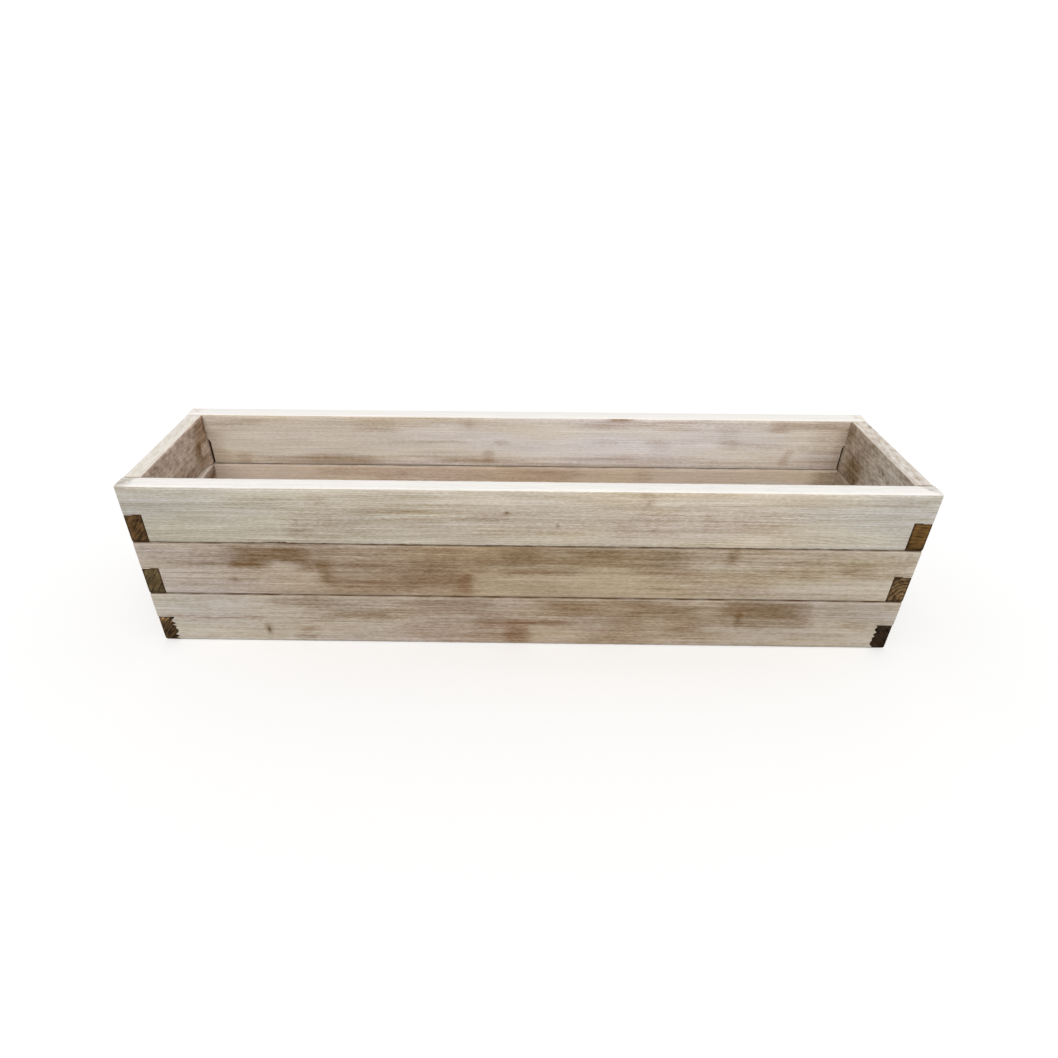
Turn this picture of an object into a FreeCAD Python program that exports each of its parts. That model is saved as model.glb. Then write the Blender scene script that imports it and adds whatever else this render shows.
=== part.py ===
import FreeCAD, Part
import os

# Raised garden bed: tiers of planed softwood planks whose ends half-lap at the corners, with one
# steel pin down through the stacked fingers of each corner. It has no floor and stands on the ground.
# +X runs along the bed, +Y towards its back and +Z up. The origin is on the ground, under the middle.

# The bed, measured outside
bed_length = 1800.0
bed_width = 450.0
tiers = ("bottom", "middle", "top")

# Plank stock
plank_height = 145.0
wall_thickness = 45.0       # front and back planks
end_thickness = 40.0        # end planks
arris_radius = 4.0          # eased long edges

# Corner half laps: end planks keep a lower finger, front and back planks the upper one
finger_height = 72.0        # lower finger
cheek_clearance = 1.0       # between the lower finger and the upper one
shoulder_clearance = 0.6    # between a notch's shoulder and the plank that crosses it

# Corner pins
pin_diameter = 8.0
bore_clearance = 0.25       # all round the pin
pin_recess = 0.5            # from the rim down to the pin's top
pin_chamfer = 0.5

# Worked out from the sizes above
rim_height = len(tiers) * plank_height
upper_finger_base = finger_height + cheek_clearance
wall_offset = (bed_width - wall_thickness) / 2     # from the middle to a front or back plank's axis
end_offset = (bed_length - end_thickness) / 2      # from the middle to an end plank's axis


def plank_blank(length, thickness):
    # stock along X, standing on Z = 0, with its four long edges eased
    corner = FreeCAD.Vector(-length / 2, -thickness / 2, 0)
    block = Part.makeBox(length, thickness, plank_height, corner)
    long_edges = [edge for edge in block.Edges if edge.BoundBox.XLength > edge.BoundBox.ZLength
                  and edge.BoundBox.XLength > edge.BoundBox.YLength]
    return block.makeFillet(arris_radius, long_edges)


def cut_notches(plank, crossing_thickness, base, top):
    # take a notch between two heights out of both ends, for the plank that crosses there
    bounds = plank.BoundBox
    depth = crossing_thickness + shoulder_clearance
    for inner_end in (bounds.XMin, bounds.XMax - depth):
        corner = FreeCAD.Vector(inner_end, bounds.YMin, base)
        plank = plank.cut(Part.makeBox(depth, bounds.YLength, top - base, corner))
    return plank


def bore_fingers(plank, reach):
    # a pin hole down the finger at each end, this far from the plank's middle
    radius = pin_diameter / 2 + bore_clearance
    for side in (-1, 1):
        foot = FreeCAD.Vector(side * reach, 0, 0)
        plank = plank.cut(Part.makeCylinder(radius, plank_height, foot))
    return plank


def wall_plank():
    plank = plank_blank(bed_length, wall_thickness)
    plank = cut_notches(plank, end_thickness, 0, upper_finger_base)
    return bore_fingers(plank, end_offset)


def end_plank():
    plank = plank_blank(bed_width, end_thickness)
    plank = cut_notches(plank, wall_thickness, finger_height, plank_height)
    plank = bore_fingers(plank, wall_offset)
    plank.rotate(FreeCAD.Vector(0, 0, 0), FreeCAD.Vector(0, 0, 1), 90)
    return plank


def corner_pin():
    # round rod from the ground to just under the rim, chamfered at both ends
    pin = Part.makeCylinder(pin_diameter / 2, rim_height - pin_recess)
    rims = [edge for edge in pin.Edges if isinstance(edge.Curve, Part.Circle)]
    return pin.makeChamfer(pin_chamfer, rims)


def write_piece(name, shape, x, y, z):
    placed = shape.copy()
    placed.translate(FreeCAD.Vector(x, y, z))
    placed.exportStep(os.path.join("parts", name + ".step"))


def main():
    os.makedirs("parts", exist_ok=True)
    walls = {
        "front": (wall_plank(), 0, -wall_offset),
        "back": (wall_plank(), 0, wall_offset),
        "left": (end_plank(), -end_offset, 0),
        "right": (end_plank(), end_offset, 0),
    }
    for level, tier in enumerate(tiers):
        for wall, (plank, x, y) in walls.items():
            write_piece(f"{tier}_{wall}_plank", plank, x, y, level * plank_height)

    pin = corner_pin()
    for depth_side, y in (("front", -wall_offset), ("back", wall_offset)):
        for length_side, x in (("left", -end_offset), ("right", end_offset)):
            write_piece(f"{depth_side}_{length_side}_corner_pin", pin, x, y, 0)


main()
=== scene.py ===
import functools
import math

import bmesh
import bpy
import numpy as np
from mathutils import Matrix, Vector


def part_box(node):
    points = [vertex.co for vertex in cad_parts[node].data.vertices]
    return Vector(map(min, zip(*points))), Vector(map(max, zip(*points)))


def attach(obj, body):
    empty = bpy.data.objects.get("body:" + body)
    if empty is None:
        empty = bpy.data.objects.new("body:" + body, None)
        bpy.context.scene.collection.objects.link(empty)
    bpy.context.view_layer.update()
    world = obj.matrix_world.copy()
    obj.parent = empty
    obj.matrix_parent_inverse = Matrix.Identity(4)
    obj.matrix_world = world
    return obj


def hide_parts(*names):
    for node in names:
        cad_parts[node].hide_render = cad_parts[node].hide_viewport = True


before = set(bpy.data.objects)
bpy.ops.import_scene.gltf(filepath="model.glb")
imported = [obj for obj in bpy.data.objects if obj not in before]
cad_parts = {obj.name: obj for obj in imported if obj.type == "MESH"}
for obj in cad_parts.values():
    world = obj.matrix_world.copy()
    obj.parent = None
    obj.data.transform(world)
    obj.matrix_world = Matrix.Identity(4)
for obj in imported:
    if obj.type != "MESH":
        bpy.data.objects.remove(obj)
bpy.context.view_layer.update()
mm = 0.001


# Colours and nodes

def linear(hexColour):  # sRGB hex to linear RGBA
    channels = [int(hexColour[i:i + 2], 16) / 255 for i in (1, 3, 5)]
    return [c / 12.92 if c <= 0.04045 else ((c + 0.055) / 1.055) ** 2.4 for c in channels] + [1.0]


def addNode(tree, kind, inputs, stops=(), **settings):  # inputs hold nodes, sockets, hex colours or numbers
    node = tree.nodes.new("ShaderNode" + kind)
    for name, value in settings.items():
        setattr(node, name, value)
    for place, hexColour in stops:
        node.color_ramp.elements.new(place).color = linear(hexColour)
    if stops:
        node.color_ramp.elements.remove(node.color_ramp.elements[0])
    for socket, source in inputs.items():
        if isinstance(source, bpy.types.Node):
            source = next(output for output in source.outputs if output.enabled)
        if isinstance(source, bpy.types.NodeSocket):
            tree.links.new(source, node.inputs[socket])
        else:
            node.inputs[socket].default_value = linear(source) if isinstance(source, str) else source
    return node


def startMaterial(name):
    material = bpy.data.materials.new(name)
    material.use_nodes = True
    material.node_tree.nodes.remove(material.node_tree.nodes["Principled BSDF"])
    return material, functools.partial(addNode, material.node_tree)


def endMaterial(material, shader):
    output = material.node_tree.nodes["Material Output"]
    material.node_tree.links.new(shader.outputs[0], output.inputs["Surface"])
    return material


# Wood

pineLook = {
    "brownStain": "#a7906c",   # tints the pale wood where the rain has not washed the preservative out
    "rustStain": "#b48a69",
    "stainGate": 0.3,          # a stain weaker than this frays less
    "stainRange": {"From Min": 0.04, "From Max": 0.96},
    "knot": "#63523c",
    "knotCore": {"From Min": 0.7, "From Max": 1.5},  # fades out over these knot radii
    "knotHalo": {"From Min": 0.9, "From Max": 3.6},
    "knotFray": 0.6,
    "haloStain": 0.6,          # how brown the wood about a knot is
    "bleached": "#e6e2dd",     # faces that look up: sun-bleached wood, made paler still by painted light from above
    "bleachFacing": {"From Min": 0.4, "From Max": 0.9},  # how far up they look
    "bleachFleck": 3.4,        # how uneven the bleaching and painted light are
    "bleachedGrain": {"From Min": -0.4, "From Max": 0.4, "To Min": 0.9, "To Max": 1.07},
    "grime": "#553818",        # in the seams: partly dirt, partly painted shade where the eased edges meet, and painted shadow in the open joints; also dark marks on the rims
    "sawnShade": "#a8968c",    # mottles the inner faces of the end planks
    "driftRange": {"From Min": 0.32, "From Max": 0.68},  # how the pale wood drifts in hue
    "cooler": (1.005, 0.989, 0.998),
    "yellower": (1.028, 0.993, 0.916),
    "grainTint": (0.86, 1.0, 1.28),  # a darker line of the grain is browner, a lighter one greyer
    "lateWood": -0.22,         # shade of the hard line at the end of each ring
    "rings": [(0.0, "#000000"), (0.5, "#404040"), (0.84, "#ffffff"), (0.97, "#101010")],
    "ringMm": 4.2,
    "wanderMm": 40,            # how far the rings sway along a plank
    "slashMm": (9, 60),        # band-saw marks, width and length
    "slashLean": -38,          # degrees
    # patterns: length along the grain and height across it in mm, detail, roughness
    "patterns": {
        "line": (320, 4.2, 3, 0.75),
        "streak": (240, 11, 4, 0.65),
        "dash": (12, 3.3, 2, 0.6),
        "blotch": (150, 34, 4, 0.6),
        "wander": (460, 64, 2, 0.5),
        "hue": (300, 60, 1, 0.5),
        "fleck": (24, 9, 3, 0.65),
    },
    "mixes": {  # the middle value, and how much each pattern adds about it
        "shade": (0.04, {"line": 0.98, "streak": 0.5, "blotch": 0.4, "dash": 0.7}),
        "fray": (0.0, {"line": -0.6, "streak": -0.55, "blotch": -0.2, "dash": -0.4}),
        "rough": (0.3, {"blotch": 1.3, "fleck": 2.0, "slash": 0.7}),
    },
    "gloss": {"To Min": 0.88, "To Max": 0.74},  # roughness between the hard lines and on them
    "specular": 0.15,
    "bumpMm": 0.5,
    "bumpStrength": 0.7,
    "ringRelief": 0.5,         # height of the hard lines and of the saw marks against the streaks
    "sawRelief": 1.5,
}


def weatheredPine():
    # planed, pressure-treated pine left out in the rain: matt, straight grain of low contrast, brown
    # stains that follow the grain, tops bleached almost white and painted paler still as if lit from above
    look = pineLook
    material, put = startMaterial("weathered treated pine")
    board, paleWood, sawnWood, knotCo = [
        put("Attribute", {}, attribute_name=name).outputs["Vector"]
        for name in ("boardCo", "paleWood", "sawnWood", "knotCo")]
    stain, rust, sawn, grime, sunlit, figure, bend = [
        put("Attribute", {}, attribute_name=name).outputs["Fac"]
        for name in ("stain", "rust", "sawn", "grime", "sunlit", "figure", "grainBend")]

    slashWidth, slashLength = [size * mm for size in look["slashMm"]]
    slant = put("Mapping", {"Vector": board, "Rotation": (0, math.radians(look["slashLean"]), 0),
                            "Scale": (slashWidth, slashLength, slashLength)}, vector_type="TEXTURE")
    field = {"slash": put("TexNoise", {"Vector": slant, "Scale": 1, "Detail": 3})}
    for name, (long, high, detail, roughness) in look["patterns"].items():
        scaled = put("VectorMath", {0: board, 1: (1000 / long, 1000 / high, 1000 / high)},
                     operation="MULTIPLY")
        field[name] = put("TexNoise", {"Vector": scaled, "Scale": 1, "Detail": detail,
                                       "Roughness": roughness})

    mixed = {}
    for use, (middle, weights) in look["mixes"].items():
        mixed[use] = middle - sum(weights.values()) / 2
        for name, weight in weights.items():
            mixed[use] = put("Math", {0: field[name], 1: weight, 2: mixed[use]}, operation="MULTIPLY_ADD")

    # knots: distance in knot radii, and how dark the nearest one is
    knotDark = put("SeparateXYZ", {0: knotCo}).outputs["Z"]
    knotFlat = put("VectorMath", {0: knotCo, 1: (1, 1, 0)}, operation="MULTIPLY")
    knotFar = put("VectorMath", {0: knotFlat}, operation="LENGTH").outputs["Value"]
    knotFar = put("Math", {0: field["dash"], 1: look["knotFray"], 2: knotFar}, operation="MULTIPLY_ADD")
    core, halo = [
        put("MapRange", {"Value": knotFar, **look[name], "To Min": knotDark, "To Max": 0},
            interpolation_type="SMOOTHSTEP")
        for name in ("knotCore", "knotHalo")]

    # growth rings about the pith, wandering along the plank and bent round the knots
    across = put("VectorMath", {0: board, 1: (0, 1, 1)}, operation="MULTIPLY")
    radius = put("VectorMath", {0: across}, operation="LENGTH").outputs["Value"]
    radius = put("Math", {0: field["wander"], 1: look["wanderMm"] * mm, 2: radius},
                 operation="MULTIPLY_ADD")
    radius = put("Math", {0: bend, 1: radius}, operation="ADD")
    rings = put("Math", {0: radius, 1: 1000 / look["ringMm"]}, operation="MULTIPLY")
    late = put("ValToRGB", {"Fac": put("Math", {0: rings}, operation="FRACT")}, stops=look["rings"])

    # pale wood drifts in hue, and the inner faces of the end planks stay as the band saw left them
    drift = put("MapRange", {"Value": field["hue"], **look["driftRange"]}, interpolation_type="SMOOTHSTEP")
    hue = put("Mix", {0: drift, 4: look["cooler"], 5: look["yellower"]}, data_type="VECTOR")
    pale = put("VectorMath", {0: paleWood, 1: hue}, operation="MULTIPLY")
    rough = put("Mix", {0: mixed["rough"], 6: sawnWood, 7: look["sawnShade"]}, data_type="RGBA",
                blend_type="MULTIPLY")
    colour = put("Mix", {0: sawn, 6: pale, 7: rough}, data_type="RGBA")

    # a stain is deepest in the dark lines of the grain, and runs out along them
    gate = put("MapRange", {"Value": stain, "From Max": look["stainGate"]})
    frayed = put("Math", {0: mixed["fray"], 1: gate, 2: stain}, operation="MULTIPLY_ADD")
    stained = put("MapRange", {"Value": frayed, **look["stainRange"]})
    stained = put("Math", {0: halo, 1: look["haloStain"], 2: stained}, operation="MULTIPLY_ADD",
                  use_clamp=True)
    tint = put("Mix", {0: rust, 6: look["brownStain"], 7: look["rustStain"]}, data_type="RGBA")
    colour = put("Mix", {0: stained, 6: colour, 7: tint}, data_type="RGBA", blend_type="MULTIPLY")
    colour = put("Mix", {0: core, 6: colour, 7: look["knot"]}, data_type="RGBA")

    grain = put("Math", {0: late, 1: look["lateWood"], 2: mixed["shade"]}, operation="MULTIPLY_ADD")
    grain = put("Math", {0: grain, 1: figure}, operation="MULTIPLY")
    level = put("VectorMath", {0: grain, 1: look["grainTint"], 2: (1, 1, 1)}, operation="MULTIPLY_ADD")
    colour = put("VectorMath", {0: colour, 1: level}, operation="MULTIPLY")

    # what looks up is painted pale: partly sun bleaching, partly painted light from above, which also puts
    # a painted highlight on the upper eased edges; in flecks where the sun has not reached everything
    up = put("SeparateXYZ", {0: put("NewGeometry", {}).outputs["Normal"]}).outputs["Z"]
    uneven = put("Math", {0: field["fleck"], 1: look["bleachFleck"], 2: -look["bleachFleck"] / 2},
                 operation="MULTIPLY_ADD")
    spared = put("Math", {0: 1.0, 1: sunlit}, operation="SUBTRACT")
    paleAndLitShare = put("Math", {0: uneven, 1: spared, 2: sunlit}, operation="MULTIPLY_ADD", use_clamp=True)
    paleAndLit = put("MapRange", {"Value": up, **look["bleachFacing"], "To Max": paleAndLitShare},
                 interpolation_type="SMOOTHSTEP")
    evened = put("MapRange", {"Value": grain, **look["bleachedGrain"]})
    bleachedLitColour = put("VectorMath", {0: linear(look["bleached"])[:3], "Scale": evened}, operation="SCALE")
    colour = put("Mix", {0: paleAndLit, 6: colour, 7: bleachedLitColour}, data_type="RGBA")
    # dark brown in the seams and joints: partly dirt, partly painted shade and painted shadow
    colour = put("Mix", {0: grime, 6: colour, 7: look["grime"]}, data_type="RGBA")

    gloss = put("MapRange", {"Value": late, **look["gloss"]})
    relief = put("Math", {0: late, 1: look["ringRelief"], 2: field["streak"]}, operation="MULTIPLY_ADD")
    sawMarks = put("Math", {0: field["slash"], 1: sawn}, operation="MULTIPLY")
    relief = put("Math", {0: sawMarks, 1: look["sawRelief"], 2: relief}, operation="MULTIPLY_ADD")
    bump = put("Bump", {"Height": relief, "Strength": look["bumpStrength"],
                        "Distance": look["bumpMm"] * mm})
    shader = put("BsdfPrincipled", {"Base Color": colour, "Roughness": gloss,
                                    "Specular IOR Level": look["specular"], "Normal": bump})
    return endMaterial(material, shader)


endGrainLook = {
    "rings": [(0.0, "#ffffff"), (0.5, "#d0d0d0"), (0.86, "#5a5a5a"), (0.98, "#f4f4f4")],
    "ringMm": 11,
    "wobbleMm": 24,            # size of the unevenness in the rings
    "wobbleRings": 1.6,        # and its depth in rings
    "wet": "#1d130c",          # damp nearest the ground; along the joints the same dark is painted shade
    "scratchMm": (3.2, 40, 40),  # saw scratches, width and length
    "cloudMm": 24,
    "mottle": {"From Min": 0.3, "From Max": 0.7, "To Min": 0.55, "To Max": 1.45},
    "darkest": 0.2,            # the deepest scratch, as a share of the colour
    "roughness": 0.9,
    "specular": 0.08,
    "bumpMm": 0.7,
    "bumpStrength": 0.6,
}


def pineEndGrain():
    # cross-cut ends: the open pores drink preservative and water, so they are dark, with curved rings
    # and slanting saw scratches
    look = endGrainLook
    material, put = startMaterial("pine end grain")
    board, endWood, scratchCo = [put("Attribute", {}, attribute_name=name).outputs["Vector"]
                                 for name in ("boardCo", "endWood", "scratchCo")]
    damp, ringed, scratched = [put("Attribute", {}, attribute_name=name).outputs["Fac"]
                               for name in ("damp", "ringed", "scratched")]
    across = put("VectorMath", {0: board, 1: (0, 1, 1)}, operation="MULTIPLY")
    wobble = put("TexNoise", {"Vector": across, "Scale": 1000 / look["wobbleMm"], "Detail": 2})
    radius = put("VectorMath", {0: across}, operation="LENGTH").outputs["Value"]
    ring = put("Math", {0: radius, 1: 1000 / look["ringMm"]}, operation="MULTIPLY")
    ring = put("Math", {0: wobble, 1: look["wobbleRings"], 2: ring}, operation="MULTIPLY_ADD")
    shade = put("ValToRGB", {"Fac": put("Math", {0: ring}, operation="FRACT")}, stops=look["rings"])
    colour = put("Mix", {0: ringed, 6: endWood, 7: shade}, data_type="RGBA", blend_type="MULTIPLY")

    scratchScale = [1000 / size for size in look["scratchMm"]]
    drawn = put("VectorMath", {0: scratchCo, 1: scratchScale}, operation="MULTIPLY")
    slash = put("TexNoise", {"Vector": drawn, "Scale": 1, "Detail": 3})
    cloud = put("TexNoise", {"Vector": scratchCo, "Scale": 1000 / look["cloudMm"], "Detail": 2})
    mottle = put("MapRange", {"Value": cloud, **look["mottle"]})
    swing = put("Math", {0: slash, 1: 0.5}, operation="SUBTRACT")
    lift = put("Math", {0: swing, 1: scratched, 2: mottle}, operation="MULTIPLY_ADD")
    lift = put("Math", {0: lift, 1: look["darkest"]}, operation="MAXIMUM")
    # darker where damp near the ground, and by painted shade along the joints
    colour = put("Mix", {0: damp, 6: colour, 7: look["wet"]}, data_type="RGBA")
    colour = put("VectorMath", {0: colour, "Scale": lift}, operation="SCALE")
    bump = put("Bump", {"Height": slash, "Strength": look["bumpStrength"],
                        "Distance": look["bumpMm"] * mm})
    shader = put("BsdfPrincipled", {"Base Color": colour, "Roughness": look["roughness"],
                                    "Specular IOR Level": look["specular"], "Normal": bump})
    return endMaterial(material, shader)


pine = weatheredPine()
endGrain = pineEndGrain()
print("materials: weathered pine and its end grain")


# Modelling helpers

def pick(piece, kind, test):  # in edit mode, selects only what passes the test
    bpy.ops.mesh.select_all(action="DESELECT")
    cage = bmesh.from_edit_mesh(piece.data)
    for item in getattr(cage, kind):
        if test(item):
            item.select_set(True)
    cage.select_flush_mode()
    bmesh.update_edit_mesh(piece.data)


def runsAlong(edge, axis):
    step = edge.verts[1].co - edge.verts[0].co
    return abs(step[axis]) > 0.999 * step.length


def divide(piece, axis, pitch):  # cuts the edges along an axis into even steps of about the pitch
    mostCuts = 15
    nearlyAll = 0.985  # edges of nearly the longest one's length are cut with it
    while True:
        cage = bmesh.from_edit_mesh(piece.data)
        longest = max(edge.calc_length() for edge in cage.edges if runsAlong(edge, axis))
        cuts = min(round(longest / pitch) - 1, mostCuts)
        if cuts < 1:
            return
        least = nearlyAll * longest
        pick(piece, "edges", lambda edge: runsAlong(edge, axis) and edge.calc_length() > least)
        bpy.ops.mesh.subdivide(number_cuts=cuts)


def applyModifier(piece, kind, **settings):
    bpy.ops.object.select_all(action="DESELECT")
    piece.select_set(True)
    bpy.context.view_layer.objects.active = piece
    added = piece.modifiers.new(kind.lower(), kind)
    for name, value in settings.items():
        setattr(added, name, value)
    bpy.ops.object.modifier_apply(modifier=added.name)


def softStep(value, low, high):
    share = np.clip((value - low) / (high - low), 0, 1)
    return share * share * (3 - 2 * share)


def softWindow(value, low, high, soft):  # 1 between low and high, fading to 0 about both
    return softStep(value, low - soft, low + soft) * softStep(-value, -high - soft, -high + soft)


def ramble(u, v):  # a smooth uneven field between -1 and 1
    broad = np.sin(2.1 * u + 1.7 * np.sin(1.3 * v + 0.4))
    fine = np.sin(0.9 * u - 2.2 * v + 1.1 * np.sin(1.6 * u))
    return 0.6 * broad + 0.4 * fine


# Planks

plankStock = {
    "fingerHeight": 72 * mm,   # lower finger of an end plank
    "cheekGap": 1 * mm,
    "shoulderGap": 0.6 * mm,
    "arris": 4 * mm,
    "boreRadius": 4.25 * mm,
    "gridPitch": 6 * mm,
    "cutEdge": 0.6 * mm,       # wear on the edges of the saw cuts
    "cutAngle": 50,            # degrees, an edge sharper than this is a saw cut
    "smoothAngle": 32,         # degrees, an edge flatter than this is shaded smooth
}

wallLow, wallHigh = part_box("top_front_plank")
wallLength, wallThickness, plankHeight = wallHigh - wallLow
endLow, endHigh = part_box("top_left_plank")
endThickness, endLength = (endHigh - endLow).xy


def plankBlank(name, length, thickness, crossing, lapHeight, fingerSide):
    # a body between the shoulders, then a finger drawn out of each end, above or below the lap line
    fingerLength = crossing + plankStock["shoulderGap"]
    lapLine = lapHeight - plankHeight / 2
    bpy.ops.object.select_all(action="DESELECT")
    bpy.ops.mesh.primitive_cube_add(size=1)
    blank = bpy.context.object
    blank.name = name
    blank.scale = (length - 2 * fingerLength, thickness, plankHeight)
    bpy.ops.object.transform_apply(location=False, rotation=False, scale=True)
    bpy.ops.object.mode_set(mode="EDIT")
    bpy.ops.mesh.select_all(action="SELECT")
    bpy.ops.mesh.bisect(plane_co=(0, 0, lapLine), plane_no=(0, 0, 1))
    bpy.ops.mesh.select_mode(type="FACE")
    for end in (-1, 1):
        pick(blank, "faces", lambda face: face.normal.x * end > 0.9
             and (face.calc_center_median().z - lapLine) * fingerSide > 0)
        bpy.ops.mesh.extrude_region_move(TRANSFORM_OT_translate={"value": (end * fingerLength, 0, 0)})
    bpy.ops.mesh.select_mode(type="EDGE")
    corner = Vector((thickness / 2, plankHeight / 2))
    pick(blank, "edges", lambda edge: runsAlong(edge, 0)
         and (Vector((abs(edge.verts[0].co.y), abs(edge.verts[0].co.z))) - corner).length < 0.1 * mm)
    bpy.ops.mesh.bevel(offset=plankStock["arris"], segments=3, affect="EDGES")
    for axis in (0, 2, 1):
        divide(blank, axis, plankStock["gridPitch"])
    bpy.ops.object.mode_set(mode="OBJECT")
    return blank


lapAbove = plankStock["fingerHeight"] + plankStock["cheekGap"]
wallBlank = plankBlank("wallBlank", wallLength, wallThickness, endThickness, lapAbove, 1)
endBlank = plankBlank("endBlank", endLength, endThickness, wallThickness, plankStock["fingerHeight"], -1)
print("plank blanks:", len(wallBlank.data.polygons), "and", len(endBlank.data.polygons), "faces")

# Each plank has: where its pith lies (mm before and below its middle), its pale colours along its length,
# an end plank's rough colours inside (sawn), how much of the pale look its top takes, which is sun
# bleaching and painted light from above, and the colour and dampness of its end grain. On its shown face it
# has brown patches (along from and to, height from and to, how brown, how rusty) and knots (along, height,
# half length, half height, how dark). Some have swirls of the grain there (along, height, half length, half
# height, push) and marks on the rim (along, through, radius, how dark). Lengths are in mm, along from the
# plank's middle and heights from its underside. What a plank leaves out is as in plainPlank.

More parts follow.
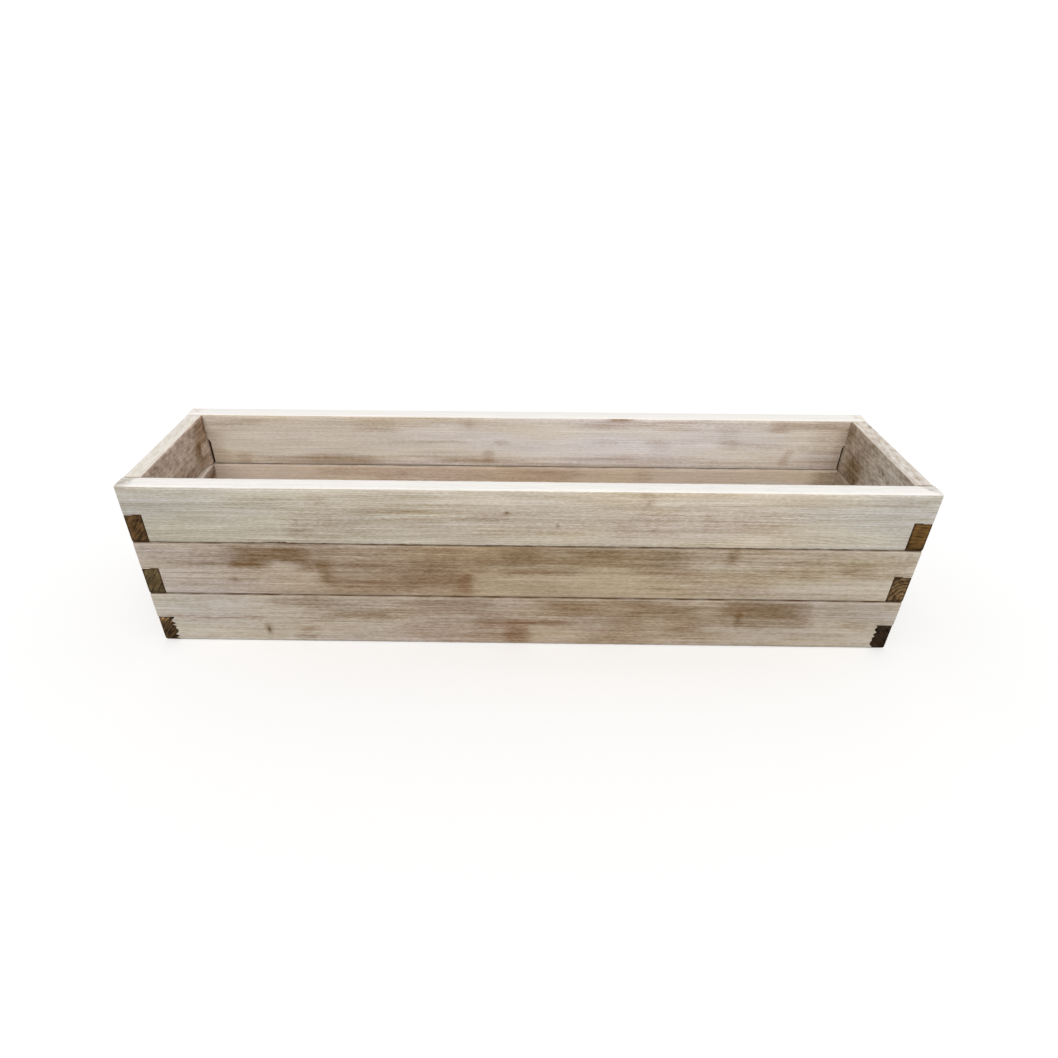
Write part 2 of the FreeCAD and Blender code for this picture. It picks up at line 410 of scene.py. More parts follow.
plainPlank = {
    "figure": 1.0,             # strength of the grain
    "washed": 0.0,             # how much paler the rain has left the upper edge
    "dullEnds": 0.0,           # how much less of the bleached, painted-light look the top has at its corners
    "ringed": 0.3,             # strength of the rings in the end grain
    "scratched": 3.4,          # and of the saw scratches there
    "sawLean": 38,             # degrees
    "swirls": [],
    "marks": [],
}
planks = {
    "top_front_plank": {
        "pith": (46, 88), "pale": {-900: "#aeaaa0", -450: "#b8b0a1", 450: "#c0b5a6", 900: "#b7b4ac"},
        "washed": 0.12, "sunlit": 1.0, "dullEnds": 0.7, "endWood": "#65492c", "damp": 0.0,
        "patches": [
            (-490, -448, 100, 130, 0.15, 0.5), (-535, -478, 14, 62, 0.22, 0.4),
            (-470, -428, 5, 120, 0.1, 0.4), (-425, -315, 28, 48, 0.14, 0.4),
            (-410, 0, 58, 102, 0.06, 0.7), (-110, -38, 18, 90, 0.1, 0.4),
            (-560, 600, 34, 104, 0.13, 0.6), (200, 246, 18, 64, 0.12, 0.7),
            (238, 345, 28, 96, 0.14, 0.5), (252, 278, 104, 142, 0.18, 0.2),
            (388, 434, 48, 94, 0.16, 0.9), (438, 578, 38, 100, 0.12, 0.9),
            (578, 690, 72, 96, 0.14, 0.2), (775, 900, 100, 142, 0.16, 0.3),
            (-665, -545, 98, 122, 0.12, 0.6), (-900, -560, 88, 97, 0.14, 0.6),
            (-860, -560, 4, 16, 0.12, 0.0), (-60, 330, 132, 145, 0.1, 0.0)],
        "knots": [
            (-43, 88, 4, 3, 0.65), (72, 56, 3, 2.4, 0.45), (285, 46, 6, 4, 0.25), (266, 112, 9, 6, 0.2)],
        "swirls": [
            (-490, 46, 55, 20, 24), (-565, 88, 60, 13, 13), (-215, 66, 120, 20, 16),
            (288, 62, 48, 28, 26), (655, 72, 65, 17, 16)],
        "marks": [(-888, -8, 20, 0.25)]},
    "middle_front_plank": {
        "pith": (38, 118), "pale": {-900: "#b3a9a1", -100: "#a8977f", 900: "#b9af9f"},
        "sunlit": 0.1, "endWood": "#65492c", "damp": 0.1,
        "patches": [
            (-685, -488, 96, 138, 0.82, 0.1), (-610, -500, 104, 140, 0.3, 0.0),
            (-692, -600, 76, 102, 0.9, 0.1), (-530, -450, 74, 100, 0.6, 0.1),
            (-482, -448, 30, 138, 0.3, 0.0), (-470, -125, 4, 140, 0.46, 0.45),
            (-480, -130, 8, 58, 0.16, 0.9), (-260, -150, 42, 96, 0.2, 0.4),
            (-440, -160, 72, 92, 0.16, 0.5), (-154, -122, 10, 70, 0.5, 0.8),
            (-130, -78, 68, 128, 0.42, 0.4), (-85, 385, 88, 140, 0.5, 0.1),
            (-40, 60, 98, 138, 0.16, 0.3), (108, 238, 102, 140, 0.4, 0.0),
            (255, 362, 80, 139, 0.26, 0.0), (-72, 122, 64, 85, 0.46, 0.5),
            (262, 402, 70, 90, 0.36, 0.9), (456, 486, 95, 142, 0.34, 0.1),
            (390, 700, 62, 142, 0.28, 0.2), (704, 900, 64, 138, 0.26, 0.1),
            (730, 812, 66, 106, 0.3, 0.1), (-110, 110, 5, 62, 0.1, 0.6), (280, 580, 8, 72, 0.24, 0.7),
            (-690, -480, 4, 76, 0.14, 0.8), (-880, -690, 85, 137, 0.3, 0.2),
            (-840, -700, 57, 65, 0.26, 0.0), (640, 700, 55, 93, 0.18, 0.4)],
        "knots": [
            (-686, 43, 7, 6, 0.35), (-465, 63, 9, 14, 0.22), (478, 121, 8, 9, 0.25),
            (-220, 73, 9, 7, 0.15)],
        "swirls": [(-330, 96, 80, 18, 14), (250, 112, 70, 16, 14), (560, 60, 90, 20, 12)]},
    "bottom_front_plank": {
        "pith": (44, -104), "pale": {-900: "#b5aea4", 100: "#ad9d8b", 900: "#aea599"},
        "sunlit": 0.1, "endWood": "#553d28", "damp": 0.45,
        "patches": [
            (-545, 690, 60, 138, 0.25, 0.1), (-884, -630, 68, 80, 0.44, 1.0),
            (-640, -452, 108, 138, 0.36, 0.2), (-470, -300, 73, 104, 0.32, 0.1),
            (-445, -325, 77, 96, 0.34, 0.1), (-556, -506, 4, 46, 0.24, 0.4),
            (-560, -300, 4, 52, 0.13, 0.5), (-305, -95, 92, 137, 0.34, 0.2),
            (-300, -40, 4, 62, 0.32, 1.0), (-112, -38, 48, 95, 0.32, 0.6), (-48, 18, 4, 78, 0.62, 0.7),
            (12, 112, 58, 77, 0.46, 0.7), (56, 208, 91, 135, 0.54, 0.1), (202, 300, 4, 138, 0.28, 0.4),
            (240, 430, 88, 136, 0.4, 0.0), (345, 438, 50, 90, 0.46, 0.7), (466, 664, 93, 139, 0.6, 0.1),
            (480, 625, 94, 118, 0.2, 0.1), (430, 685, 60, 96, 0.28, 0.0),
            (640, 692, 60, 130, 0.14, 0.6), (775, 835, 60, 78, 0.22, 0.4), (140, 450, 4, 56, 0.26, 0.4),
            (450, 680, 4, 56, 0.08, 0.4), (690, 900, 82, 142, 0.13, 0.1)],
        "knots": [(-631, 38, 5, 10, 0.75), (521, 84, 5, 13, 0.4)],
        "swirls": [(-390, 84, 60, 16, 14), (90, 104, 60, 18, 14), (-80, 70, 40, 14, 10)]},
    "top_back_plank": {
        "pith": (52, 96), "pale": {-860: "#d3c9b9", -250: "#d9d0c6", 300: "#e2dcdb", 860: "#d6cdc3"},
        "figure": 0.6, "sunlit": 1.0, "dullEnds": 0.45, "endWood": "#65492c", "damp": 0.0,
        "patches": [
            (-900, 900, 114, 150, 0.19, 0.3), (-900, 862, -5, 32, 0.27, 0.7),
            (-452, -343, 98, 140, 0.26, 0.1), (222, 290, 136, 148, 0.6, 0.6),
            (650, 702, 108, 144, 0.3, 0.7), (690, 862, 120, 146, 0.24, 0.3),
            (-862, -700, 96, 130, 0.14, 0.3), (-862, -812, 15, 98, 0.2, 0.6),
            (-697, -423, 4, 24, 0.25, 0.1), (-612, -423, 12, 35, 0.26, 0.1),
            (-794, -754, 0, 30, 0.34, 0.5), (-226, -93, 12, 28, 0.38, 0.2),
            (-113, -86, 14, 52, 0.34, 0.6), (-286, -153, 66, 79, 0.24, 0.1),
            (-77, -40, 68, 82, 0.34, 0.1), (176, 274, 66, 84, 0.26, 0.2), (332, 387, 52, 88, 0.16, 0.1),
            (518, 574, 58, 132, 0.18, 0.1), (528, 704, 56, 79, 0.28, 0.4), (698, 724, 8, 56, 0.3, 0.4),
            (250, 400, 4, 46, 0.18, 0.6), (770, 862, 8, 132, 0.24, 0.2), (836, 862, 8, 120, 0.2, 0.2),
            (728, 762, 54, 69, 0.22, 0.4), (300, 500, 70, 84, 0.12, 0.3),
            (170, 520, 116, 142, 0.14, 0.5), (-700, -300, 60, 112, 0.08, 0.3)],
        "knots": [(-150, 124, 14, 14, 0.15), (256, 141, 14, 4, 0.3)]},
    "middle_back_plank": {
        "pith": (40, -112), "pale": {-860: "#cfbfaf", 0: "#c9b59f", 860: "#c9bbac"}, "figure": 0.55,
        "sunlit": 0.35, "endWood": "#65492c", "damp": 0.1,
        "patches": [
            (-580, -430, 117, 142, 0.3, 0.5), (-430, -300, 88, 139, 0.26, 1.0),
            (-300, 160, 68, 139, 0.24, 1.0), (300, 360, 98, 142, 0.22, 0.5),
            (795, 861, 78, 142, 0.45, 0.0), (-120, 260, 8, 62, 0.45, 0.6)],
        "knots": [(-340, 120, 8, 6, 0.15), (520, 60, 12, 9, 0.4)]},
    "bottom_back_plank": {
        "pith": (48, 108), "pale": {-860: "#cdbfae", 860: "#c9bcac"},
        "sunlit": 0.35, "endWood": "#553d28", "damp": 0.45,
        "patches": [
            (-700, -420, 40, 96, 0.5, 0.4), (-160, 60, 6, 70, 0.5, 0.7), (380, 640, 60, 130, 0.55, 0.3)],
        "knots": [(-250, 80, 9, 7, 0.5), (300, 40, 11, 8, 0.4)]},
    "top_left_plank": {
        "pith": (30, 96), "pale": {-225: "#bfb3a3", 225: "#b9ad9d"}, "figure": 0.7,
        "sawn": {-225: "#eddbcb", 60: "#e9d5c4", 225: "#e2ccb8"},
        "sunlit": 0.62, "endWood": "#5d452a", "damp": 0.0,
        "patches": [
            (110, 184, 72, 142, 0.6, 0.1), (96, 128, 40, 96, 0.7, 0.1), (118, 166, 8, 46, 0.34, 0.9),
            (-120, 60, 20, 80, 0.3, 0.4)],
        "knots": [
            (177, 132, 4, 5, 0.75), (171, 112, 3, 7, 0.65), (176, 96, 3, 4, 0.6), (122, 68, 5, 9, 0.5)]},
    "middle_left_plank": {
        "pith": (46, -70), "pale": {-225: "#d2c1ac", 225: "#d6c5b0"}, "figure": 0.7,
        "sawn": {-225: "#d8c5b6", 225: "#d8c8be"},
        "sunlit": 0.55, "endWood": "#605036", "damp": 0.05,
        "patches": [(-60, 184, 30, 138, 0.62, 0.1)],
        "knots": [
            (-90, 90, 9, 7, 0.4), (172, 134, 3, 4, 0.8), (166, 121, 4, 3, 0.8), (148, 116, 3, 3, 0.6)]},
    "bottom_left_plank": {
        "pith": (34, 84), "pale": {-225: "#b6a896", 225: "#b6a896"}, "figure": 0.7,
        "sawn": {-225: "#d4bfa9", 225: "#d4bfa9"},
        "sunlit": 0.35, "endWood": "#8a6c48", "damp": 0.8, "scratched": 8.0,
        "patches": [(-150, 20, 0, 80, 0.5, 0.5)],
        "knots": [(110, 50, 11, 8, 0.4)]},
    "top_right_plank": {
        "pith": (40, -88), "pale": {-225: "#b4a696", 225: "#b0a292"}, "figure": 0.7,
        "sawn": {-225: "#d7c6b2", -75: "#d4c5b2", 20: "#eee7db", 225: "#eee7db"},
        "sunlit": 0.44, "endWood": "#644926", "damp": 0.0, "scratched": 3.0, "sawLean": 84,
        "patches": [
            (-140, -60, 5, 78, 0.76, 0.0), (-182, -140, 90, 142, 0.5, 0.0),
            (-90, 60, 80, 120, 0.25, 0.0), (-60, 184, 124, 150, 0.4, 0.0), (-60, 70, 44, 74, 0.24, 0.0)],
        "knots": [(42, 99, 6, 5, 0.5), (-36, 138, 7, 4, 0.4)],
        "marks": [(-183, 15, 5, 0.6), (-141, 14, 7, 0.7), (-66, -2, 12, 0.2)]},
    "middle_right_plank": {
        "pith": (-16, 64), "pale": {-225: "#b8aa92", 225: "#b8aa92"}, "figure": 0.7,
        "sawn": {-225: "#d2c2aa", 225: "#d8c8b4"},
        "sunlit": 0.6, "endWood": "#836846", "damp": 0.0, "ringed": 1.0, "scratched": 2.0,
        "patches": [(-150, 0, 20, 90, 0.4, 0.6)],
        "knots": [(60, 70, 9, 7, 0.4)]},
    "bottom_right_plank": {
        "pith": (44, 90), "pale": {-225: "#b4a592", 225: "#b4a592"}, "figure": 0.7,
        "sawn": {-225: "#d2bfa9", 225: "#d2bfa9"},
        "sunlit": 0.35, "endWood": "#433223", "damp": 0.6,
        "patches": [(0, 160, 10, 90, 0.5, 0.4)],
        "knots": [(-60, 60, 10, 8, 0.4)]},
}

plankWear = {
    "bowMm": 0.6, "bowSizeMm": 420,        # slow unevenness of every face
    "nickMm": 1.4, "nickSizeMm": 14,       # dents along the eased edges
    "arrisReachMm": 6,
    "sliverMm": 1.6,                       # thickness of the splinters at the torn shoulders
    "torn": {-1: (13.0, 14.0), 1: (10.0, 15.0)},  # reach past the left and right shoulder, and spacing, mm
    "tornSpacing": (0.3, 13),              # how uneven the spacing is, and over how many mm of height
    "tornReach": (0.38, 15),               # the same for the reach
    "endSetBackMm": 2.2,                   # end grain behind the splinters
    "shoulderGapMm": {-1: 4.4, 1: 3.0},    # open joint in the top back corners
    "raggedMm": 1.2, "raggedSizeMm": (11, 140),  # lower edge of the top front plank
    "chip": (-572, 26, 3.0),               # along, half length and depth, under the top front plank
    "chipReachMm": 9, "chipSoftMm": 10, "chipSizeMm": 5,
    "waneMm": (17, 42),                    # bark edge under the top left plank inside, depth and height
    "waneRunMm": (45, 200, 330),           # from the back wall: at full depth, still there, gone
}


def cloudTexture(name, sizeMm, depth):
    texture = bpy.data.textures.new(name, "CLOUDS")
    texture.noise_scale = sizeMm * mm
    texture.noise_depth = depth
    return texture


bowTexture = cloudTexture("plankBow", plankWear["bowSizeMm"], 1)
nickTexture = cloudTexture("arrisNicks", plankWear["nickSizeMm"], 2)

boreCutters = {}
for pinName in [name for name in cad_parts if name.endswith("_corner_pin")]:
    pinLow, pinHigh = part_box(pinName)
    bpy.ops.object.select_all(action="DESELECT")
    bpy.ops.mesh.primitive_cylinder_add(vertices=24, radius=plankStock["boreRadius"], depth=3 * pinHigh.z,
                                        location=(pinLow + pinHigh) / 2)
    boreCutters[pinName.replace("_corner_pin", "")] = bpy.context.object


def tornRows(plank):  # a thin skin and close rows on the front, for splinters at the shoulders
    bpy.ops.object.mode_set(mode="EDIT")
    bpy.ops.mesh.select_mode(type="EDGE")
    pick(plank, "edges", lambda edge: runsAlong(edge, 2) and edge.verts[0].co.z + edge.verts[1].co.z < 0)
    bpy.ops.mesh.subdivide(number_cuts=2)
    bpy.ops.mesh.select_all(action="SELECT")
    skin = wallThickness / 2 - plankWear["sliverMm"] * mm
    bpy.ops.mesh.bisect(plane_co=(0, -skin, 0), plane_no=(0, 1, 0))
    bpy.ops.object.mode_set(mode="OBJECT")


def cutPlank(node, tier, wall):  # a copy of the blank in its place, with worn saw cuts and bores
    turns = {"front": 0, "back": 0, "left": 90, "right": -90}  # the shown face is always the -Y one
    low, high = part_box(node)
    blank = endBlank if wall in ("left", "right") else wallBlank
    bpy.ops.object.select_all(action="DESELECT")
    blank.select_set(True)
    bpy.context.view_layer.objects.active = blank
    bpy.ops.object.duplicate()
    plank = bpy.context.object
    plank.name = f"{tier}_{wall}_board"
    if node == "bottom_front_plank":
        tornRows(plank)
    applyModifier(plank, "BEVEL", width=plankStock["cutEdge"], segments=2, limit_method="ANGLE",
                  angle_limit=math.radians(plankStock["cutAngle"]))
    plank.rotation_euler.z = math.radians(turns[wall])
    plank.location = (low + high) / 2
    bpy.context.view_layer.update()
    placing = plank.matrix_world.copy()
    bpy.ops.object.transform_apply(location=True, rotation=True, scale=True)
    for corner, cutter in boreCutters.items():
        if wall in corner.split("_"):
            applyModifier(plank, "BOOLEAN", object=cutter, operation="DIFFERENCE", solver="EXACT")
    return plank, placing


def weathered(node, along, through, height, thickness):
    # what tearing, bark edges and chips do to a plank's shape, in mm
    side = np.sign(along)
    shoulder = (wallLength / 2 - endThickness - plankStock["shoulderGap"]) / mm
    atShoulder = (np.abs(np.abs(along) - shoulder) < 2) & (height < lapAbove / mm - 1)
    if node == "bottom_front_plank":  # splinters of uneven width and reach
        skin = atShoulder & (through < -thickness / 2 + plankWear["sliverMm"] - 0.3)
        shift, shiftSize = plankWear["tornSpacing"]
        change, changeSize = plankWear["tornReach"]
        for end, (reach, spacing) in plankWear["torn"].items():
            row = height / spacing + shift * ramble(height / shiftSize, 2.0 * end)
            tooth = 1 - 2 * np.abs(row % 1 - 0.5)
            tooth = tooth * (1 - change + change * ramble(height / changeSize, 5.0 * end))
            along = along + skin * (side == end) * end * reach * tooth
    if node in ("bottom_left_plank", "bottom_right_plank"):
        atFront = side > 0 if node == "bottom_right_plank" else side < 0
        along = along - np.where((np.abs(along) > endLength / mm / 2 - 1) & atFront,
                                 side * plankWear["endSetBackMm"], 0)
    if node == "top_back_plank":
        gap = np.where(side < 0, plankWear["shoulderGapMm"][-1], plankWear["shoulderGapMm"][1])
        along = along - atShoulder * side * gap
    if node == "top_front_plank":
        place, halfLength, depth = plankWear["chip"]
        near = np.clip(1 - np.hypot(through + thickness / 2, height) / plankWear["chipReachMm"], 0, 1)
        bite = softWindow(along, place - halfLength, place + halfLength, plankWear["chipSoftMm"])
        bite = depth * near * bite * (0.5 + 0.5 * ramble(along / plankWear["chipSizeMm"], 0.0))
        through = through + bite
        height = height + bite
        short, long = plankWear["raggedSizeMm"]
        height = height + plankWear["raggedMm"] * near * np.clip(ramble(along / short, along / long), 0, 1)
    if node == "top_left_plank":
        deep, tall = plankWear["waneMm"]
        full, still, gone = plankWear["waneRunMm"]
        inFromBack = (endLength / 2 - wallThickness) / mm - along
        deep = deep * softStep(inFromBack, 0, full) * softStep(-inFromBack, -gone, -still)
        deep = deep * np.clip(1 - height / tall, 0, 1)
        through = through + deep * (0.5 - through / thickness)
    return along, through, height


# Colours and marks on the planks, written on their points for the two materials of the wood

plankMarks = {
    "grainStart": 3.1,         # metres of grain from one plank to the next, so that no two look alike
    "scratchStart": 90,        # mm
    "washedMm": (92, 138),     # height over which the upper edge pales
    "dampMm": (54, 66),        # height over which the damp of the end grain ends
    "dampAbove": 0.1,          # share of it above that
    "borderMm": (0.5, 5),      # darker border of the end grain: painted shade of the joints about it
    "borderDamp": 0.75,
    "dullMm": (-8, 12),        # about the slanting line where a top's corners turn dull
    "dullSlope": 0.8,          # mm along for each mm across
    "sawnMm": (1, 4),          # how near the inner face of an end plank its wood is rough
    "stainSoftMm": (42, 8),    # most that a stain's edge fades over, along and up
    "stainSoftShare": (0.33, 0.28),  # and most as a share of its size
    "stainSwayMm": (8, 3),     # how far its outline wanders, along and up
    "stainSwaySizeMm": ((60, 20), (80, 30)),  # and over what lengths and heights
    "stainSkinMm": (8, 16),    # depth from the plank's middle where stains begin, and where they are full
    "farFace": 0.65,           # strength of the same stains on a plank's other face
    "knotReach": 5,            # knot radii within which a knot shows
    "knotSwirl": (3, 14),      # knot radii over which the grain bends round it, and by how many mm
    "seamGrime": {"front": (0.85, 1.0), "back": (0.5, 0.5), "left": (0.8, 0.8), "right": (0.3, 0.8)},
    "underSeamMm": 2.5,        # height of the dirt and painted shade under and over a seam
    "overSeamMm": (1, 4.5),
    "grimeUneven": (0.2, 30),  # how much it changes along a seam, and over how many mm
    "markFade": (0.5, 1.3),    # radii over which a mark on the rim fades out
    "rimMm": 5,                # how far down such a mark goes
}


def readPlaces(piece):
    places = np.empty(len(piece.data.vertices) * 3)
    piece.data.vertices.foreach_get("co", places)
    return places.reshape(-1, 3)


def writeAttribute(piece, name, values):  # numbers or vectors, one for each point
    kind, field = ("FLOAT_VECTOR", "vector") if values.ndim == 2 else ("FLOAT", "value")
    attribute = piece.data.attributes.new(name, kind, "POINT")
    attribute.data.foreach_set(field, values.astype(np.float32).ravel())


def colourAlong(along, stops):
    colours = np.array([linear(hexColour)[:3] for hexColour in stops.values()])
    return np.stack([np.interp(along, list(stops), channel) for channel in colours.T], axis=1)


def patchDepth(along, through, height, patches):  # how brown, and how rusty the brown is
    softAlong, softUp = plankMarks["stainSoftMm"]
    shareAlong, shareUp = plankMarks["stainSoftShare"]
    swayAlong, swayUp = plankMarks["stainSwayMm"]
    (long, high), (longer, higher) = plankMarks["stainSwaySizeMm"]
    depth, rust, weight = np.zeros((3, len(along)))
    # the other face has them turned end for end
    for facing, side, share in ((-1, along, 1.0), (1, -along, plankMarks["farFace"])):
        sideways = side + swayAlong * ramble(side / long, height / high)
        upright = height + swayUp * ramble(side / longer + 2, height / higher)
        onFace = share * softStep(facing * through, *plankMarks["stainSkinMm"])
        for start, end, bottom, top, brown, rusty in patches:
            spread = softWindow(sideways, start, end, min(softAlong, shareAlong * (end - start)))
            spread = spread * softWindow(upright, bottom, top, min(softUp, shareUp * (top - bottom)))
            spread = brown * spread * onFace
            depth = 1 - (1 - depth) * (1 - spread)
            weight = weight + spread
            rust = rust + rusty * spread
    return depth, rust / np.maximum(weight, 0.001)


def nearestKnot(along, height, knots):  # offsets in knot radii, and how dark it is
    farAway = 40.0
    nearest = np.full((len(along), 3), (farAway, farAway, 0.0))
    for x, z, halfLength, halfHeight, dark in knots:
        darkness = np.full(len(along), dark)
        offset = np.stack([(along - x) / halfLength, (height - z) / halfHeight, darkness], axis=1)
        closer = np.hypot(offset[:, 0], offset[:, 1]) < np.hypot(nearest[:, 0], nearest[:, 1])
        nearest[closer] = offset[closer]
    nearest[np.hypot(nearest[:, 0], nearest[:, 1]) > plankMarks["knotReach"], 2] = 0
    return nearest


def grainBend(along, height, knots, swirls):  # how far the rings are pushed aside, in mm
    reach, push = plankMarks["knotSwirl"]
    bumps = [(x, z, reach * halfLength, reach * halfHeight, push)
             for x, z, halfLength, halfHeight, dark in knots]
    bend = np.zeros(len(along))
    for x, z, halfLength, halfHeight, push in bumps + swirls:
        bend = bend + push * np.exp(-((along - x) / halfLength) ** 2 - ((height - z) / halfHeight) ** 2)
    return bend


# dark along the seams: partly dirt, partly painted shade where two planks' eased edges meet; painted shadow
# in the open joints; dark marks on the rims
def seamGrime(order, tier, wall, along, through, height, thickness, marks):
    top = plankHeight / mm
    upperSeam, lowerSeam = plankMarks["seamGrime"][wall]
    overEnd, overStart = plankMarks["overSeamMm"]
    under = {"top": upperSeam, "middle": lowerSeam, "bottom": 0}[tier]
    under = under * softStep(-height, -plankMarks["underSeamMm"], 0)
    over = {"top": 0, "middle": upperSeam, "bottom": lowerSeam}[tier]
    over = over * softStep(height, top - overStart, top - overEnd)
    change, size = plankMarks["grimeUneven"]
    grime = (under + over) * (1 - change + change * ramble(along / size, order))
    if wall in ("left", "right"):  # the seam is clean inside the left end, and the open joints are painted black as their shadow
        grime = grime * ((wall == "right") | (through > thickness / 4))
        inJoint = np.abs(along) > (endLength / 2 - wallThickness) / mm + 1
        # painted shadow: full darkness on the face inside the open joint
        grime = np.maximum(grime, inJoint & (through < 0))
    markFull, markGone = plankMarks["markFade"]
    for x, y, radius, dark in marks:
        near = np.hypot(along - x, through - y) / radius
        mark = dark * softStep(-near, -markGone, -markFull)
        grime = np.maximum(grime, mark * (height > top - plankMarks["rimMm"]))
    return grime


def endDampAndShade(isEnd, through, height, thickness, damp):  # damp rises from the ground; along the joints the darkening is painted shade
    fingerLow, fingerHigh = (0, plankStock["fingerHeight"]) if isEnd else (lapAbove, plankHeight)
    border = np.minimum(height - fingerLow / mm, fingerHigh / mm - height)
    border = np.minimum(border, thickness / 2 - np.abs(through))
    borderEnd, borderStart = plankMarks["borderMm"]
    dampFull, dampGone = plankMarks["dampMm"]
    above = plankMarks["dampAbove"]
    damp = damp * (above + (1 - above) * softStep(-height, -dampGone, -dampFull))
    # painted shade along the borders of the end grain
    return np.maximum(damp, plankMarks["borderDamp"] * softStep(-border, -borderStart, -borderEnd))


def paintPlank(plank, order, node, spec, place, along, through, height, thickness):
    tier, wall = node.split("_")[:2]
    isEnd = wall in ("left", "right")
    pith = np.array((order * plankMarks["grainStart"], spec["pith"][0] * mm, spec["pith"][1] * mm))
    depth, rust = patchDepth(along, through, height, spec["patches"])
    washed = 1 + spec["washed"] * softStep(height, *plankMarks["washedMm"])
    pastCorner = np.abs(along) - (wallLength / 2 - endThickness) / mm
    pastCorner = pastCorner - plankMarks["dullSlope"] * (thickness / 2 - through)
    lean = math.radians(spec["sawLean"])
    scratchCo = np.stack([through * math.cos(lean) + height * math.sin(lean),
                          height * math.cos(lean) - through * math.sin(lean),
                          np.full(len(place), plankMarks["scratchStart"] * order)], axis=1)
    sawnFull, sawnGone = plankMarks["sawnMm"]
    attributes = {
        "boardCo": place + pith,
        "knotCo": nearestKnot(along, height, spec["knots"]),
        "grainBend": grainBend(along, height, spec["knots"], spec["swirls"]) * mm,
        "paleWood": colourAlong(along, spec["pale"]) * washed[:, None],
        "sawnWood": colourAlong(along, spec.get("sawn", spec["pale"])),
        "sawn": isEnd * softStep(-through, thickness / 2 - sawnGone, thickness / 2 - sawnFull),
        "stain": depth,
        "rust": rust,
        # the top's share of the pale look: sun bleaching and painted light from above, less at the corners
        "sunlit": spec["sunlit"] - spec["dullEnds"] * softStep(pastCorner, *plankMarks["dullMm"]),
        "grime": seamGrime(order, tier, wall, along, through, height, thickness, spec["marks"]),
        "endWood": np.tile(linear(spec["endWood"])[:3], (len(place), 1)),
        "damp": endDampAndShade(isEnd, through, height, thickness, spec["damp"]),
        "scratchCo": scratchCo * mm,
    }
    for name in ("figure", "ringed", "scratched"):
        attributes[name] = np.full(len(place), spec[name])
    for name, values in attributes.items():
        writeAttribute(plank, name, values)


def makePlank(order, node, spec):
    tier, wall = node.split("_")[:2]
    isEnd = wall in ("left", "right")
    plank, placing = cutPlank(node, tier, wall)
    toLocal, toWorld = np.array(placing.inverted()), np.array(placing)
    place = readPlaces(plank) @ toLocal[:3, :3].T + toLocal[:3, 3]
    along, through, height = place.T / mm
    height = height + plankHeight / mm / 2
    thickness = (endThickness if isEnd else wallThickness) / mm
    outerEnd = np.abs(along) > (endLength if isEnd else wallLength) / mm / 2 - 0.1
    paintPlank(plank, order, node, spec, place, along, through, height, thickness)

    # wear only takes wood away, so a plank stays in the space of its solid
    edgeOut = np.hypot(thickness / 2 - np.abs(through), np.minimum(height, plankHeight / mm - height))
    nearArris = np.clip(1 - edgeOut / plankWear["arrisReachMm"], 0, 1)
    group = plank.vertex_groups.new(name="arris")
    for index in np.flatnonzero(nearArris):
        group.add([int(index)], float(nearArris[index]), "REPLACE")
    worn = np.stack(weathered(node, along, through, height, thickness), axis=1) * mm
    worn[:, 2] -= plankHeight / 2
    plank.data.vertices.foreach_set("co", (worn @ toWorld[:3, :3].T + toWorld[:3, 3]).ravel())
    plank.data.update()
    applyModifier(plank, "DISPLACE", texture=bowTexture, strength=plankWear["bowMm"] * mm, mid_level=1.0)
    applyModifier(plank, "DISPLACE", texture=nickTexture, strength=plankWear["nickMm"] * mm, mid_level=1.0,
                  vertex_group="arris")

    plank.data.materials.clear()
    plank.data.materials.append(pine)
    plank.data.materials.append(endGrain)
    for face in plank.data.polygons:
        face.material_index = int(all(outerEnd[corner] for corner in face.vertices))
    bpy.ops.object.shade_smooth_by_angle(angle=math.radians(plankStock["smoothAngle"]))
    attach(plank, "root")
    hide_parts(node)


for order, (node, spec) in enumerate(planks.items()):
    makePlank(order, node, {**plainPlank, **spec})
for tool in [wallBlank, endBlank, *boreCutters.values()]:
    bpy.data.objects.remove(tool)
print("planks made:", len(planks))


# Corner pins keep their CAD shape

steelLook = {
    "bright": "#dedbd5",
    "dull": "#c6c3bd",
    "spangleMm": 3.0,
    "metallic": 0.4,
    "roughness": {"To Min": 0.38, "To Max": 0.58},
}


def galvanisedSteel():
    # zinc-dipped rod gone chalky: pale grey, half metal and half dull, mottled by the zinc's crystals
    material, put = startMaterial("galvanised steel")
    place = put("TexCoord", {}).outputs["Object"]
    crystals = put("TexVoronoi", {"Vector": place, "Scale": 1000 / steelLook["spangleMm"]}).outputs["Color"]
    grey = put("SeparateColor", {0: crystals}).outputs["Red"]
    colour = put("Mix", {0: grey, 6: steelLook["dull"], 7: steelLook["bright"]}, data_type="RGBA")
    dull = put("MapRange", {"Value": grey, **steelLook["roughness"]})
    shader = put("BsdfPrincipled", {"Base Color": colour, "Metallic": steelLook["metallic"],
                                    "Roughness": dull})
    return endMaterial(material, shader)


steel = galvanisedSteel()
for name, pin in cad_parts.items():
    if name.endswith("_corner_pin"):
        pin.data.materials.clear()
        pin.data.materials.append(steel)
print("corner pins finished")


# Floor, light and camera

studio = {
    "floorSize": 80.0,
    "floorSeen": "#f1f1f1",    # white under this light
    "floorLit": "#b4b4b4",     # what its bounce gives the bed
    "floorRoughness": 0.95,
    "skyLight": 0.6,
    "sunStrength": 2.3,
    "sunSoftness": 50,         # degrees across
    "sunTilt": 40,             # degrees from overhead towards the front
}


def seenByCamera(put):  # 1 where the camera sees it straight, mirrored or through something clear
    path = put("LightPath", {})
    seen = put("Math", {0: path.outputs["Is Camera Ray"], 1: path.outputs["Is Glossy Ray"]},
               operation="MAXIMUM")
    return put("Math", {0: seen, 1: path.outputs["Is Transmission Ray"]}, operation="MAXIMUM")


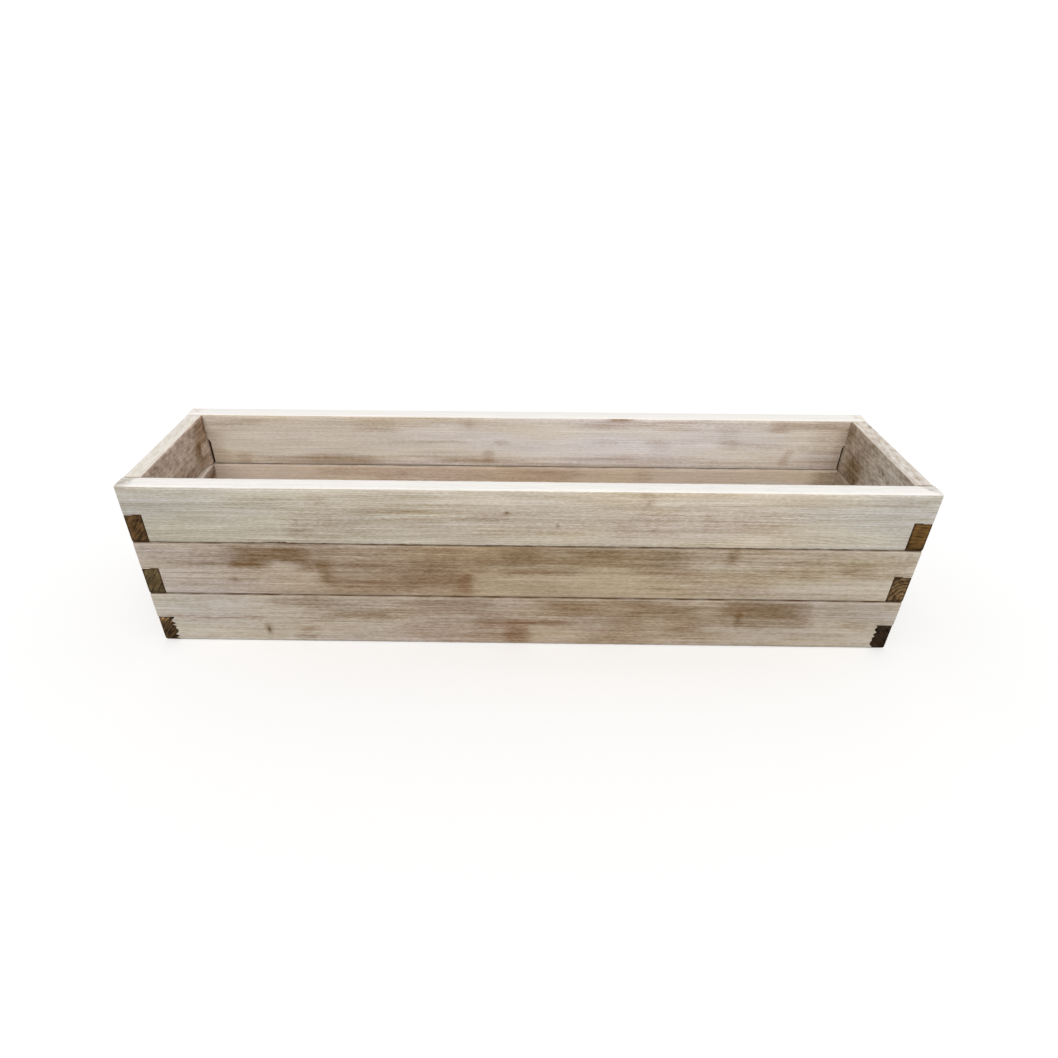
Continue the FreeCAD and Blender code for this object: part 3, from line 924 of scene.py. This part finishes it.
def paperFloor():
    # seamless studio paper: matt white, keeps the bed's soft shadow
    material, put = startMaterial("white studio paper")
    colour = put("Mix", {0: seenByCamera(put), 6: studio["floorLit"], 7: studio["floorSeen"]},
                 data_type="RGBA")
    shader = put("BsdfPrincipled", {"Base Color": colour, "Roughness": studio["floorRoughness"],
                                    "Specular IOR Level": 0.0})
    return endMaterial(material, shader)


bpy.ops.object.select_all(action="DESELECT")
bpy.ops.mesh.primitive_plane_add(size=studio["floorSize"])
floor = bpy.context.object
floor.name = "floor"
floor.data.materials.append(paperFloor())

world = bpy.data.worlds.new("studio")
bpy.context.scene.world = world
world.use_nodes = True
world.node_tree.nodes.clear()
put = functools.partial(addNode, world.node_tree)
level = put("MapRange", {"Value": seenByCamera(put), "To Min": studio["skyLight"], "To Max": 1.0})
put("OutputWorld", {"Surface": put("Background", {"Color": "#ffffff", "Strength": level})})

bpy.ops.object.light_add(type="SUN", location=(0, -2, 3))
sun = bpy.context.object
sun.data.energy = studio["sunStrength"]
sun.data.angle = math.radians(studio["sunSoftness"])
sun.rotation_euler.x = math.radians(studio["sunTilt"])

shot = {
    "place": (-0.0254, -1.5640, 1.1568),
    "pitch": 33.352,           # degrees below level
    "turn": 0.579,             # degrees to the left
    "roll": 0.352,             # degrees, so that level lines fall to the right
    "pictureWidth": 1058,      # pixels, as are the next two
    "focal": 700.07,
    "centre": (508.35, 551.95),  # where the lens axis meets the picture
}
camera = bpy.data.cameras.new("camera")
cameraObject = bpy.data.objects.new("camera", camera)
bpy.context.scene.collection.objects.link(cameraObject)
bpy.context.scene.camera = cameraObject
aim = [Matrix.Rotation(math.radians(angle), 4, axis)
       for angle, axis in ((shot["turn"], "Z"), (90 - shot["pitch"], "X"), (shot["roll"], "Z"))]
cameraObject.matrix_world = Matrix.Translation(shot["place"]) @ aim[0] @ aim[1] @ aim[2]
camera.sensor_width = 36
camera.lens = shot["focal"] / shot["pictureWidth"] * camera.sensor_width
camera.shift_x = 0.5 - shot["centre"][0] / shot["pictureWidth"]
camera.shift_y = shot["centre"][1] / shot["pictureWidth"] - 0.5

bpy.context.scene.view_settings.view_transform = "Standard"
print("studio ready")
